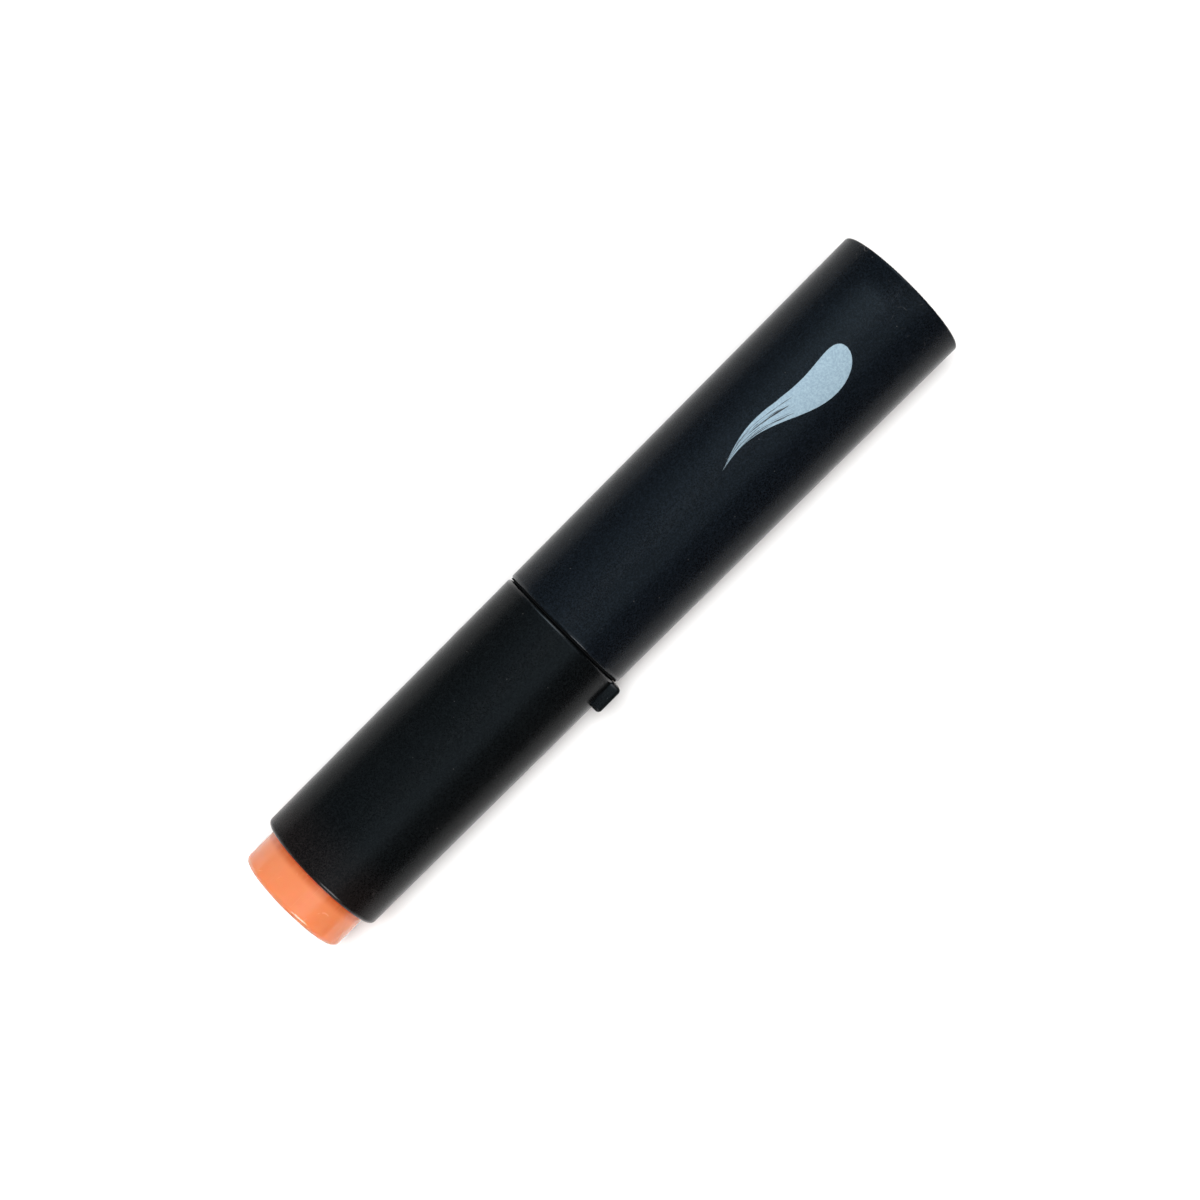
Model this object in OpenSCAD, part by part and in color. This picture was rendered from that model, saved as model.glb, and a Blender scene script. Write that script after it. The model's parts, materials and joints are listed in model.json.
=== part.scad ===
// Brush marker: a flared barrel that takes an ink cartridge from the rear, a nib section pressed
// into its front, and a pull-off cap whose coloured liner shows the ink.
// Millimetres. The marker lies along X on the plane Z = 0, with its nib towards +X and the cap's
// anti-roll tab towards +Y. Stations are distances along the axis, from the barrel's rear rim.

/* [Barrel] */
// Length of the barrel, from its rear rim to the seam
barrel_length = 48.8; // [44:0.1:60]
// Outer diameter at the seam, where barrel and cap meet flush
barrel_d = 15.3; // [13.5:0.1:18]
// Growth of the barrel's diameter from the seam to its rear rim
barrel_flare = 0.6; // [0.2:0.05:1.2]
// Wall of the barrel at the seam
barrel_wall = 1.05; // [0.9:0.05:1.4]
// Rounding of the rear rim's outer edge
rim_round = 0.3; // [0.1:0.05:0.4]
// Rounding of the barrel's outer edge at the seam
seam_round = 0.15; // [0.05:0.05:0.3]

/* [Rear socket] */
// Depth of the open socket behind the cartridge
socket_depth = 4; // [2:0.5:7]
// Radial step from the cartridge's bore out to the seat of its flange
seat_step = 0.25; // [0.2:0.05:0.4]
// Radial step from that seat out to the socket's wall
socket_step = 0.25; // [0.15:0.05:0.35]

/* [Cap] */
// Length of the cap's shell, from its mouth to its end
cap_length = 35.1; // [32:0.1:44]
// Fall of the cap's diameter from its mouth to its end
cap_taper = 0.36; // [0:0.02:0.8]
// Wall of the shell at its end, round the liner
cap_end_wall = 1; // [0.8:0.05:1.4]
// Rounding of the shell's outer edge at its mouth
mouth_round = 0.3; // [0.1:0.05:0.3]
// Rounding of the shell's outer edge at its end
cap_end_round = 0.5; // [0.2:0.05:0.6]
// Gap between the barrel's and the cap's edges at the seam
seam_gap = 0.3; // [0.1:0.05:0.5]

/* [Anti-roll tab] */
// Length of the tab along the cap
tab_length = 3.35; // [2:0.05:6]
// Width of the tab round the cap
tab_width = 4.9; // [3:0.1:7]
// Height of the tab above the cap's surface
tab_height = 0.9; // [0.6:0.1:2]
// Rounding of the tab's edges
tab_round = 0.45; // [0.2:0.05:0.5]

/* [Inner cap] */
// Length of the coloured liner that stands out of the shell
stub_length = 4.3; // [3:0.1:7]
// Rounding of the coloured end's edge
stub_round = 0.6; // [0.2:0.05:0.9]
// Wall of the liner's skirt and of its sealing tube
liner_wall = 0.95; // [0.7:0.05:1.2]
// Thickness of the liner's closed end
liner_end_wall = 1.2; // [0.8:0.1:2]
// Length of the skirt that is pressed into the shell's end
skirt_grip = 5; // [3:0.5:8]
// Length of the lip that stops the liner inside the shell
lip_length = 1; // [0.6:0.1:2]
// Length over which the sealing tube closes on the section's nose
seal_overlap = 2.4; // [1.5:0.1:3]

/* [Front section] */
// Length of the spigot inside the barrel
spigot_length = 10.5; // [8:0.5:14]
// Radial step from the spigot out to the neck
shoulder_step = 0.15; // [0.1:0.05:0.25]
// Depth below the barrel's surface of the collar in the seam
collar_recess = 0.15; // [0.1:0.05:0.25]
// Depth below the barrel's surface at which the neck's conical root starts
root_recess = 0.4; // [0.35:0.05:0.6]
// Length of the conical root that the cap's mouth closes over
root_length = 0.6; // [0.4:0.1:1]
// Length of the neck that the cap seats on
neck_length = 6.3; // [5:0.1:9]
// Length of straight nose left free behind the liner's sealing tube
nose_margin = 0.8; // [0.4:0.1:1.5]
// Wall of the nose round the nib
nose_wall = 1.15; // [0.9:0.05:1.4]
// Wall of the spigot, and of the bulkhead in front of its hollow
section_wall = 1.2; // [0.9:0.1:1.6]
// Wall of the hollow spike that enters the cartridge
spike_wall = 0.85; // [0.6:0.05:1.2]
// Number of air channels round the nib
vent_count = 6; // [3:1:8]
// Diameter of each air channel
vent_d = 0.9; // [0.6:0.1:1.2]

/* [Nib] */
// Diameter of the nib where it leaves the nose
nib_d = 4.8; // [3.6:0.1:5.4]
// Length of the nib in front of the nose
nib_exposed = 13; // [10:0.5:15]
// Length of the nib's tail inside the section
nib_tail = 10.5; // [7:0.5:11]
// Free length from the nib's tip to the cap's closed end
nib_tip_clearance = 5.8; // [4.5:0.1:8]
// Diameter of the wick behind the nib
wick_d = 3; // [2.4:0.1:3.6]
// Length of the wick inside the ink core
wick_reach = 8; // [5:0.5:14]

/* [Cartridge] */
// Wall of the cartridge's tube
cartridge_wall = 0.9; // [0.7:0.05:1.2]
// Thickness of the tube's front wall
cartridge_front_wall = 1.2; // [0.8:0.1:2]
// Thickness of the end plug's flange
flange_thickness = 1.2; // [0.8:0.1:2]
// Length of the end plug inside the tube
plug_depth = 3.8; // [3:0.1:6]
// Diameter of the finger pocket in the end plug
pocket_d = 7.6; // [6:0.1:9]
// Depth of the finger pocket
pocket_depth = 2.6; // [1.5:0.1:3.5]
// Width of the pull bar across the pocket
pull_bar = 1.6; // [1:0.1:2.4]
// Thickness of the soft seal
seal_thickness = 1.8; // [1.2:0.1:3]
// Thickness of the film round the ink core
film = 0.15; // [0.1:0.05:0.3]

/* [Fits] */
// Radial gap round pressed-in pieces
press_gap = 0.03; // [0.01:0.01:0.05]
// Radial gap between the cap's shell and the section's neck
cap_fit = 0.15; // [0.1:0.01:0.2]
// Radial gap between the cap's mouth and the neck's conical root
root_fit = 0.1; // [0.05:0.01:0.15]
// Radial gap between the cartridge and the barrel's bore
slide_gap = 0.15; // [0.1:0.01:0.25]
// Radial gap at seals, at snap beads and round the cartridge's flange
seal_fit = 0.05; // [0.03:0.01:0.08]
// Axial gap at stops
stop_gap = 0.1; // [0.05:0.05:0.3]

/* [Hidden] */
$fn = 96;

barrel_colour = "#1b2229";
cap_colour = "#16191a";
ink_colour = "#f5935f";
core_colour = "#e9732f";
case_colour = "#e7e3dc";
seal_colour = "#3a3c3e";
film_colour = "#f3efe8";

// Edge breaks of the hidden pieces
edge_break = 0.3;
nose_round = 0.5;

// Share of the seam's gap that the collar fills
collar_share = 2 / 3;

// Snap beads: radius of their section, depth of their grooves, distance from the edge behind them
bead_section_r = 0.4;
groove_depth = 0.1;
bead_setback = 3;

// Shape of the nib: radius at its tip, and how full its belly is
tip_r = 0.12;
nib_fullness = 1.7;

// Turn of the cap's blank about its axis, which keeps the seam of its faces off the line it lies on
seam_turn = 2;

// Points along curves and round edges, and how far cutting shapes reach past a face
curve_steps = 14;
arc_steps = 6;
cut = 1;

// Radii of the barrel and of what fits in it
seam_r = barrel_d / 2;
rear_r = seam_r + barrel_flare / 2;
bore_r = seam_r - barrel_wall;
seat_r = bore_r + seat_step;
socket_r = seat_r + socket_step;
spigot_r = bore_r - press_gap;
cartridge_r = bore_r - slide_gap;

// Radii of the nib, the section and the cap
nib_r = nib_d / 2;
nib_bore_r = nib_r + press_gap;
nose_r = nib_bore_r + nose_wall;
neck_r = spigot_r + shoulder_step;
collar_r = seam_r - collar_recess;
root_r = seam_r - root_recess;
wick_r = wick_d / 2;
wick_bore_r = wick_r + press_gap;
spike_r = wick_bore_r + spike_wall;
cap_bore_r = neck_r + cap_fit;
cap_end_r = seam_r - cap_taper / 2;
cap_end_bore_r = cap_end_r - cap_end_wall;
stub_r = cap_end_bore_r - press_gap;
seal_bore_r = nose_r + seal_fit;
seal_tube_r = seal_bore_r + liner_wall;
flange_r = seat_r - seal_fit;

// Stations of the cap and its liner
cap_mouth = barrel_length + seam_gap;
cap_end = cap_mouth + cap_length;
liner_stop = cap_end - skirt_grip;
stub_end = cap_end + stub_length;
cavity_end = stub_end - liner_end_wall;

// Stations of the nib and the section, back from the cap's closed end
nib_tip = cavity_end - nib_tip_clearance;
nose_end = nib_tip - nib_exposed;
nib_tail_end = nose_end - nib_tail;
seal_mouth = nose_end - seal_overlap;
nose_start = seal_mouth - nose_margin;
collar_front = barrel_length + seam_gap * collar_share;
root_front = cap_mouth + root_length;
neck_end = barrel_length + neck_length;
hollow_end = neck_end - section_wall;
spigot_rear = barrel_length - spigot_length;
neck_bead = cap_mouth + bead_setback;
spigot_bead = barrel_length - bead_setback;
skirt_bead = cap_end - skirt_grip / 2;

// Stations and radii of the cartridge
flange_front = socket_depth + flange_thickness;
seat_station = flange_front + stop_gap;
plug_front = flange_front + plug_depth;
cartridge_front = spigot_rear - stop_gap;
case_bead = seat_station + bead_setback;
case_bore_r = cartridge_r - cartridge_wall;
inside_r = case_bore_r - press_gap;
seal_front = cartridge_front - cartridge_front_wall;
seal_rear = seal_front - seal_thickness;
spike_end = seal_rear + stop_gap;
core_front = seal_rear - stop_gap;
core_rear = plug_front + stop_gap;
core_r = inside_r - film - press_gap;
wick_rear = core_front - wick_reach;

// The whole marker, centred over the origin and resting on its widest rim
axis_height = max(rear_r, seam_r);
rear_x = -stub_end / 2;

function cap_r(station) = seam_r + (cap_end_r - seam_r) * (station - cap_mouth) / cap_length;

// The mouth's lead-in follows the neck's conical root
mouth_share = (cap_mouth - collar_front) / (root_front - collar_front);
mouth_r = root_r + (neck_r - root_r) * mouth_share + root_fit;

// The shell's bore follows its outside in front of the neck, so its wall stays even up to the liner
liner_bore_r = cap_bore_r - seam_r + cap_r(liner_stop);
lip_r = liner_bore_r - press_gap;

// Points of an arc about a centre, between two angles
function arc(centre, r, from, to) =
    [for (i = [0:arc_steps]) let (a = from + (to - from) * i / arc_steps) centre + r * [cos(a), sin(a)]];

// Outline of a turned blank between two stations, with its two outer edges rounded
function blank(a, radius_a, round_a, b, radius_b, round_b) = concat(
    [[0, a]],
    arc([radius_a - round_a, a + round_a], round_a, -90, 0),
    arc([radius_b - round_b, b - round_b], round_b, 0, 90),
    [[0, b]]);

// Flowing fall of the section from its neck to its nose
function cone_r(share) =
    nose_r + edge_break + (neck_r - nose_r - 2 * edge_break) * (1 + cos(180 * share)) / 2;

// Full-bellied taper of a brush nib
function nib_taper_r(share) = tip_r + (nib_r - tip_r) * (1 - pow(share, nib_fullness));

// Places what is built along +Z, from station 0, on the marker's axis
module on_axis() translate([rear_x, 0, axis_height]) rotate([0, 90, 0]) children();

module turned(outline) rotate_extrude() polygon(outline);

// Ring of round section that stands by height out of radius r
module bead(station, r, height)
    rotate_extrude() translate([r + height - bead_section_r, station]) circle(bead_section_r);

// Bore of radius r from station a to station b
module bore(a, b, r) translate([0, 0, a]) cylinder(h = b - a, r = r);

// Bore that goes from one radius at station a to another at station b
module taper_bore(a, radius_a, b, radius_b)
    translate([0, 0, a]) cylinder(h = b - a, r1 = radius_a, r2 = radius_b);

module barrel() color(barrel_colour) on_axis() difference() {
    turned(blank(0, rear_r, rim_round, barrel_length, seam_r, seam_round));
    bore(-cut, barrel_length + cut, bore_r);
    bore(-cut, seat_station, seat_r);
    bore(-cut, socket_depth, socket_r);
    bead(case_bead, bore_r, groove_depth);
    bead(spigot_bead, bore_r, groove_depth);
}

// Block that keeps the marker from rolling, rounded in plan and in section
module anti_roll_tab() {
    reach = seam_r + tab_height;
    foot = sqrt(pow((cap_bore_r + cap_end_r) / 2, 2) - pow(tab_width / 2, 2));
    intersection() {
        translate([-tab_width / 2, 0, 0]) rotate([90, 0, 90]) linear_extrude(tab_width)
            polygon(concat(
                [[foot, cap_mouth]],
                arc([reach - tab_round, cap_mouth + tab_round], tab_round, -90, 0),
                arc([reach - tab_round, cap_mouth + tab_length - tab_round], tab_round, 0, 90),
                [[foot, cap_mouth + tab_length]]));
        linear_extrude(cap_end) polygon(concat(
            [[-tab_width / 2, foot - cut], [tab_width / 2, foot - cut]],
            arc([tab_width / 2 - tab_round, reach - tab_round], tab_round, 0, 90),
            arc([tab_round - tab_width / 2, reach - tab_round], tab_round, 90, 180)));
    }
}

module cap_shell() color(cap_colour) on_axis() difference() {
    union() {
        rotate(seam_turn) turned(blank(cap_mouth, seam_r, mouth_round, cap_end, cap_end_r, cap_end_round));
        anti_roll_tab();
    }
    taper_bore(cap_mouth, mouth_r, root_front, cap_bore_r);
    bore(cap_mouth - cut, neck_end, cap_bore_r);
    taper_bore(neck_end, cap_bore_r, liner_stop, liner_bore_r);
    bore(cap_mouth - cut, cap_end + cut, cap_end_bore_r);
    bead(neck_bead, cap_bore_r, groove_depth);
    bead(skirt_bead, cap_end_bore_r, groove_depth);
}

// Skirt pressed into the shell, closed end that stands out of it, and sealing tube for the nose
function liner_outline() = concat(
    [[0, stub_end]],
    arc([stub_r - stub_round, stub_end - stub_round], stub_round, 90, 0),
    [[stub_r, liner_stop], [lip_r, liner_stop], [lip_r, liner_stop - lip_length],
        [stub_r - liner_wall, liner_stop - lip_length], [stub_r - liner_wall, cavity_end],
        [seal_tube_r, cavity_end], [seal_tube_r, seal_mouth + edge_break],
        [seal_tube_r - edge_break, seal_mouth], [seal_bore_r + edge_break, seal_mouth],
        [seal_bore_r, seal_mouth + edge_break], [seal_bore_r, cavity_end], [0, cavity_end]]);

module inner_cap() color(ink_colour) on_axis() {
    turned(liner_outline());
    bead(skirt_bead, stub_r, groove_depth);
}

// Nib holder: spigot, neck, flowing cone and nose outside; hollow, spike and nib bore inside
module front_section() color(barrel_colour) on_axis() difference() {
    union() {
        turned(concat(
            [[wick_bore_r, spike_end], [spike_r - edge_break, spike_end], [spike_r, spike_end + edge_break],
                [spike_r, hollow_end], [spigot_r - section_wall, hollow_end],
                [spigot_r - section_wall, spigot_rear], [spigot_r - edge_break, spigot_rear],
                [spigot_r, spigot_rear + edge_break], [spigot_r, barrel_length], [collar_r, barrel_length],
                [collar_r, collar_front], [root_r, collar_front], [neck_r, root_front],
                [neck_r, neck_end - edge_break]],
            [for (i = [0:curve_steps]) let (share = i / curve_steps)
                [cone_r(share), neck_end + (nose_start - neck_end) * share]],
            [[nose_r, nose_start]],
            arc([nose_r - nose_round, nose_end - nose_round], nose_round, 0, 90),
            [[nib_bore_r, nose_end], [nib_bore_r, nib_tail_end], [wick_bore_r, nib_tail_end]]));
        bead(neck_bead, neck_r, cap_fit - seal_fit);
        bead(spigot_bead, spigot_r, groove_depth);
    }
    for (i = [0:vent_count - 1])
        rotate((i + 0.5) * 360 / vent_count) translate([nib_bore_r, 0, 0])
            bore(nib_tail_end + edge_break, nose_end + cut, vent_d / 2);
}

module brush_nib() color(core_colour) on_axis() turned(concat(
    [[0, nib_tail_end], [nib_r - edge_break, nib_tail_end], [nib_r, nib_tail_end + edge_break]],
    [for (i = [0:curve_steps]) let (share = i / curve_steps)
        [nib_taper_r(share), nose_end + (nib_exposed - tip_r) * share]],
    [[0, nib_tip]]));

// Fibre rod, pointed at the rear where it is pushed into the ink core
module feed_wick() color(core_colour) on_axis() turned([
    [0, wick_rear], [wick_r / 2, wick_rear], [wick_r, wick_rear + wick_d / 2], [wick_r, nib_tail_end],
    [0, nib_tail_end]]);

module cartridge_tube() color(case_colour) on_axis() difference() {
    union() {
        turned(blank(flange_front, cartridge_r, edge_break, cartridge_front, cartridge_r, edge_break));
        bead(case_bead, cartridge_r, slide_gap - seal_fit);
    }
    bore(flange_front - cut, seal_front, case_bore_r);
    bore(flange_front - cut, cartridge_front + cut, spike_r + slide_gap);
}

module cartridge_end_plug() color(cap_colour) on_axis() difference() {
    union() {
        turned(blank(socket_depth, flange_r, edge_break, flange_front, flange_r, edge_break / 2));
        turned(blank(socket_depth + edge_break, inside_r, edge_break, plug_front, inside_r, edge_break));
    }
    difference() {
        bore(socket_depth - cut, socket_depth + pocket_depth, pocket_d / 2);
        translate([-pocket_d, -pull_bar / 2, 0]) cube([2 * pocket_d, pull_bar, plug_front]);
    }
}

module cartridge_seal() color(seal_colour) on_axis() difference() {
    turned(blank(seal_rear, inside_r, edge_break, seal_front, inside_r, edge_break));
    bore(seal_rear - cut, seal_front + cut, spike_r + seal_fit);
}

module ink_reservoir() color(core_colour) on_axis() difference() {
    bore(core_rear, core_front, core_r);
    bore(wick_rear - stop_gap, core_front + cut, wick_r + press_gap);
}

module reservoir_sleeve() color(film_colour) on_axis() difference() {
    bore(core_rear, core_front, inside_r);
    bore(core_rear - cut, core_front + cut, inside_r - film);
}

barrel();
front_section();
brush_nib();
feed_wick();
cartridge_tube();
cartridge_end_plug();
cartridge_seal();
ink_reservoir();
reservoir_sleeve();
cap_shell();
inner_cap();
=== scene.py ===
"""Brush marker: its looks, its light and its camera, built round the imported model.

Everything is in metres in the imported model's frame: the marker lies along X on the plane Z = 0, with its
nib and cap towards +X and the cap's anti-roll tab towards +Y.
"""
import json
import math
from collections import namedtuple

import bmesh
import bpy
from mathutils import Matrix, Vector


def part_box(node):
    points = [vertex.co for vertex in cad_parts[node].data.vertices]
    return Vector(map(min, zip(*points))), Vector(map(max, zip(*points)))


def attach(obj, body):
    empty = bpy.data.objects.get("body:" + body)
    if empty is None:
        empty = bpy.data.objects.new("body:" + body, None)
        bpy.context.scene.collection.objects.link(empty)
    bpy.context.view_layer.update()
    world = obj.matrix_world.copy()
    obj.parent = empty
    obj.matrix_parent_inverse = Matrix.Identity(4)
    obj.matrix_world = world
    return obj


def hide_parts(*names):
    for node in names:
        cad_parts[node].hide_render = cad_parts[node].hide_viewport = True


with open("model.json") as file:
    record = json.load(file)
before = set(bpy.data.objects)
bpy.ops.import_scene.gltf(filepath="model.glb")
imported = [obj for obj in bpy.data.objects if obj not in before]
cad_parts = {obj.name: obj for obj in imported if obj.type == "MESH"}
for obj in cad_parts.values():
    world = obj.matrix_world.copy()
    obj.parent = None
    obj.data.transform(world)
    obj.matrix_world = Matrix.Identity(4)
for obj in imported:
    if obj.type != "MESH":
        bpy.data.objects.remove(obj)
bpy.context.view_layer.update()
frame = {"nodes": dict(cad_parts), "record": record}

MM = 0.001


# Sizes that the frame gives
def ends(node):
    """Lowest and highest X of a node."""
    low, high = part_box(node)
    return low.x, high.x


def outer_radius(node):
    """Largest radius of a node about the marker's axis."""
    low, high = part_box(node)
    return (high.z - low.z) / 2


REAR_X, SEAM_X = ends("barrel")
MOUTH_X, SHELL_END_X = ends("cap_shell")
SEAL_MOUTH_X, STUB_END_X = ends("inner_cap")
SPIKE_X, NOSE_X = ends("front_section")
NIB_TAIL_X, NIB_TIP_X = ends("brush_nib")
FLANGE_X, PLUG_FRONT_X = ends("cartridge_end_plug")
CASE_REAR_X, CASE_FRONT_X = ends("cartridge_tube")
SEAL_FRONT_X = ends("cartridge_seal")[1]
TAB_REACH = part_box("cap_shell")[1].y

REAR_RADIUS = outer_radius("barrel")
SEAM_RADIUS = outer_radius("cap_shell")
NIB_RADIUS = outer_radius("brush_nib")
WICK_RADIUS = outer_radius("feed_wick")
FLANGE_RADIUS = outer_radius("cartridge_end_plug")
PLUG_RADIUS = outer_radius("cartridge_seal")
AXIS_Z = REAR_RADIUS

SOCKET = next(mount for mount in frame["record"]["mounts"] if mount["name"] == "rear_socket")
SOCKET_RADIUS = SOCKET["dims"]["r_mm"] * MM
SOCKET_X = REAR_X + SOCKET["dims"]["length_mm"] * MM

# Fits, walls and steps of the hidden sides
PRESS_GAP = 0.03 * MM
SNAP_GAP = 0.05 * MM
CAP_FIT = 0.15 * MM
STOP_GAP = 0.1 * MM
BARREL_WALL = 1.05 * MM
SEAT_STEP = 0.25 * MM
SHOULDER_STEP = 0.15 * MM
COLLAR_RECESS = 0.15 * MM
COLLAR_SHARE = 2 / 3
ROOT_RECESS = 0.4 * MM
ROOT_LENGTH = 0.6 * MM
ROOT_FIT = 0.1 * MM
CAP_TAPER = 0.18 * MM
CAP_END_WALL = 1.0 * MM
SKIRT_GRIP = 5.0 * MM
LIP_LENGTH = 1.0 * MM
LINER_WALL = 0.95 * MM
LINER_END_WALL = 1.2 * MM
NECK_LENGTH = 6.3 * MM
SPIGOT_LENGTH = 10.5 * MM
SECTION_WALL = 1.2 * MM
SPIKE_WALL = 0.85 * MM
NOSE_WALL = 1.15 * MM
NOSE_LENGTH = 3.2 * MM
NIB_TIP_RADIUS = 0.12 * MM
NIB_TIP_ROUND = 0.9 * NIB_TIP_RADIUS
NIB_FULLNESS = 1.7
CASE_WALL = 0.9 * MM
POCKET_RADIUS = 3.8 * MM
POCKET_DEPTH = 2.6 * MM
PULL_BAR = 1.6 * MM
BEAD_SECTION = 0.4 * MM
BEAD_HEIGHT = 0.1 * MM
BEAD_SETBACK = 3.0 * MM
FLUTES = 6
FLUTE_RADIUS = 0.45 * MM
FLUTE_RAMP = 0.3 * MM

BORE_RADIUS = SEAM_RADIUS - BARREL_WALL
SEAT_RADIUS = BORE_RADIUS + SEAT_STEP
SPIGOT_RADIUS = BORE_RADIUS - PRESS_GAP
NECK_RADIUS = SPIGOT_RADIUS + SHOULDER_STEP
COLLAR_RADIUS = SEAM_RADIUS - COLLAR_RECESS
ROOT_RADIUS = SEAM_RADIUS - ROOT_RECESS
CAP_BORE_RADIUS = NECK_RADIUS + CAP_FIT
SHELL_END_RADIUS = SEAM_RADIUS - CAP_TAPER
STUB_RADIUS = SHELL_END_RADIUS - CAP_END_WALL - PRESS_GAP
NIB_BORE_RADIUS = NIB_RADIUS + PRESS_GAP
NOSE_RADIUS = NIB_BORE_RADIUS + NOSE_WALL
WICK_BORE_RADIUS = WICK_RADIUS + PRESS_GAP
SPIKE_RADIUS = WICK_BORE_RADIUS + SPIKE_WALL
SEAL_BORE_RADIUS = NOSE_RADIUS + SNAP_GAP
CASE_BORE_RADIUS = PLUG_RADIUS + PRESS_GAP
CASE_RADIUS = CASE_BORE_RADIUS + CASE_WALL

SEAT_X = CASE_REAR_X + STOP_GAP
CASE_BEAD_X = SEAT_X + BEAD_SETBACK
NECK_BEAD_X = MOUTH_X + BEAD_SETBACK
SPIGOT_BEAD_X = SEAM_X - BEAD_SETBACK
SKIRT_BEAD_X = SHELL_END_X - SKIRT_GRIP / 2
COLLAR_FRONT_X = SEAM_X + (MOUTH_X - SEAM_X) * COLLAR_SHARE
ROOT_FRONT_X = MOUTH_X + ROOT_LENGTH
NECK_END_X = SEAM_X + NECK_LENGTH
LINER_STOP_X = SHELL_END_X - SKIRT_GRIP
CAVITY_END_X = STUB_END_X - LINER_END_WALL
SPIGOT_REAR_X = SEAM_X - SPIGOT_LENGTH
MOUTH_SHARE = (MOUTH_X - COLLAR_FRONT_X) / (ROOT_FRONT_X - COLLAR_FRONT_X)
MOUTH_BORE_RADIUS = ROOT_RADIUS + (NECK_RADIUS - ROOT_RADIUS) * MOUTH_SHARE + ROOT_FIT
LINER_BORE_RADIUS = CAP_BORE_RADIUS - CAP_TAPER * (LINER_STOP_X - MOUTH_X) / (SHELL_END_X - MOUTH_X)

# Rounds of the edges
RIM_ROUND = 0.3 * MM
SEAM_ROUND = 0.15 * MM
MOUTH_ROUND = 0.3 * MM
SHELL_END_ROUND = 0.5 * MM
STUB_ROUND = 0.6 * MM
MOULD_ROUND = 0.3 * MM
THIN_ROUND = 0.1 * MM
NOSE_ROUND = 0.5 * MM

# The tab on the cap
TAB_LENGTH = 3.35 * MM
TAB_WIDTH = 4.9 * MM
TAB_ROUND = 0.45 * MM

# The printed brush stroke on the barrel
STROKE_X = REAR_X + 8.9 * MM
STROKE_LENGTH = 17.6 * MM
STROKE_HALF_WIDTH = 1.8 * MM
STROKE_SWAY = 0.8 * MM
STROKE_LEAN = 0.42  # under 1, so that the stroke is widest near its start
STROKE_FULLNESS = 1.2
PRINT_SINK = 0.01 * MM
PRINT_THICKNESS = 0.03 * MM

# Fineness of the meshes
TURN_STEPS = 192
ROUND_STEPS = 7
CURVE_STEPS = 28
CURVE_SHARES = [i / CURVE_STEPS for i in range(CURVE_STEPS + 1)]
STROKE_STEPS = 181
STROKE_ROWS = 25
SHARP_ANGLE = math.radians(18)
HOLD = 0.02 * MM  # from the end of a round to the corner that keeps smooth shading on it
MERGE = 0.001 * MM


class Wire:
    """An output socket in a node tree. Arithmetic on wires adds Math nodes to their tree."""

    def __init__(self, tree, socket):
        self.tree = tree
        self.socket = socket

    def at(self, output):
        """Another output of the same node."""
        return Wire(self.tree, self.socket.node.outputs[output])

    def math(self, operation, *operands):
        return self.tree.node("ShaderNodeMath", {"operation": operation}, dict(enumerate(operands)))

    def smooth(self, low, high):
        """0 below low, 1 above high and a smooth step between them."""
        return self.tree.node("ShaderNodeMapRange", {"interpolation_type": "SMOOTHSTEP"},
                              {"Value": self, "From Min": low, "From Max": high})

    def near(self, middle, inner, outer):
        """1 within inner of the middle, 0 further than outer from it and a smooth step between them."""
        return 1 - abs(self - middle).smooth(inner, outer)

    def blend(self, colour, other):
        """The first colour where the wire is 0 and the other where it is 1."""
        return self.tree.node("ShaderNodeMix", {"data_type": "RGBA"}, {0: self, 6: colour, 7: other}, 2)

    def scaled(self, *factors):
        """A vector wire times three factors."""
        return self.tree.node("ShaderNodeVectorMath", {"operation": "MULTIPLY"}, {0: self, 1: factors})

    def sine(self):
        return self.math("SINE", self)

    def cosine(self):
        return self.math("COSINE", self)

    def at_least(self, low):
        return self.math("MAXIMUM", self, low)

    def __add__(self, other):
        return self.math("ADD", self, other)

    def __sub__(self, other):
        return self.math("SUBTRACT", self, other)

    def __rsub__(self, other):
        return self.math("SUBTRACT", other, self)

    def __mul__(self, other):
        return self.math("MULTIPLY", self, other)

    def __truediv__(self, other):
        return self.math("DIVIDE", self, other)

    def __rtruediv__(self, other):
        return self.math("DIVIDE", other, self)

    def __pow__(self, other):
        return self.math("POWER", self, other)

    def __abs__(self):
        return self.math("ABSOLUTE", self)

    __radd__ = __add__
    __rmul__ = __mul__


class Tree:
    """A node tree under construction."""

    def __init__(self, group):
        self.group = group

    def node(self, kind, settings=None, sockets=None, output=0):
        """Adds a node, its settings before the values or wires of its sockets, and gives an output."""
        made = self.group.nodes.new(kind)
        for name, value in (settings or {}).items():
            setattr(made, name, value)
        for name, value in (sockets or {}).items():
            if isinstance(value, Wire):
                self.group.links.new(value.socket, made.inputs[name])
            else:
                made.inputs[name].default_value = value
        return Wire(self, made.outputs[output]) if made.outputs else None


# Colours of the materials, as linear red, green, blue and alpha
BARREL_BLACK = (0.0034, 0.0052, 0.0077, 1)
CAP_BLACK = (0.0024, 0.0032, 0.0037, 1)
SECTION_BLACK = (0.006, 0.0066, 0.0072, 1)
# painted shade, for the section where it shows in the seam's gap
SEAM_SHADE_BLACK = (0.0008, 0.0008, 0.0008, 1)
RUBBED_BLACK = (0.0085, 0.0062, 0.0058, 1)
SATIN_SHEEN = (0.94, 1.0, 1.03, 1)
DEEP_ORANGE = (0.645, 0.207, 0.084, 1)
CLEAR_ORANGE = (0.675, 0.224, 0.096, 1)
SHADED_ORANGE = (0.42, 0.08, 0.016, 1)
STREAK_ORANGE = (0.8, 0.36, 0.2, 1)
SCRATCH_ORANGE = (0.85, 0.45, 0.3, 1)
# painted shade, for the line where the orange end leaves the cap's shell
CREASE_SHADE_RED = (0.46, 0.045, 0.01, 1)
CASE_WHITE = (0.76, 0.74, 0.69, 1)
CASE_TINT = (0.80, 0.46, 0.27, 1)
FILM_TINT = (0.8, 0.42, 0.25, 1)
FILM_PALE = (0.86, 0.62, 0.48, 1)
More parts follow.
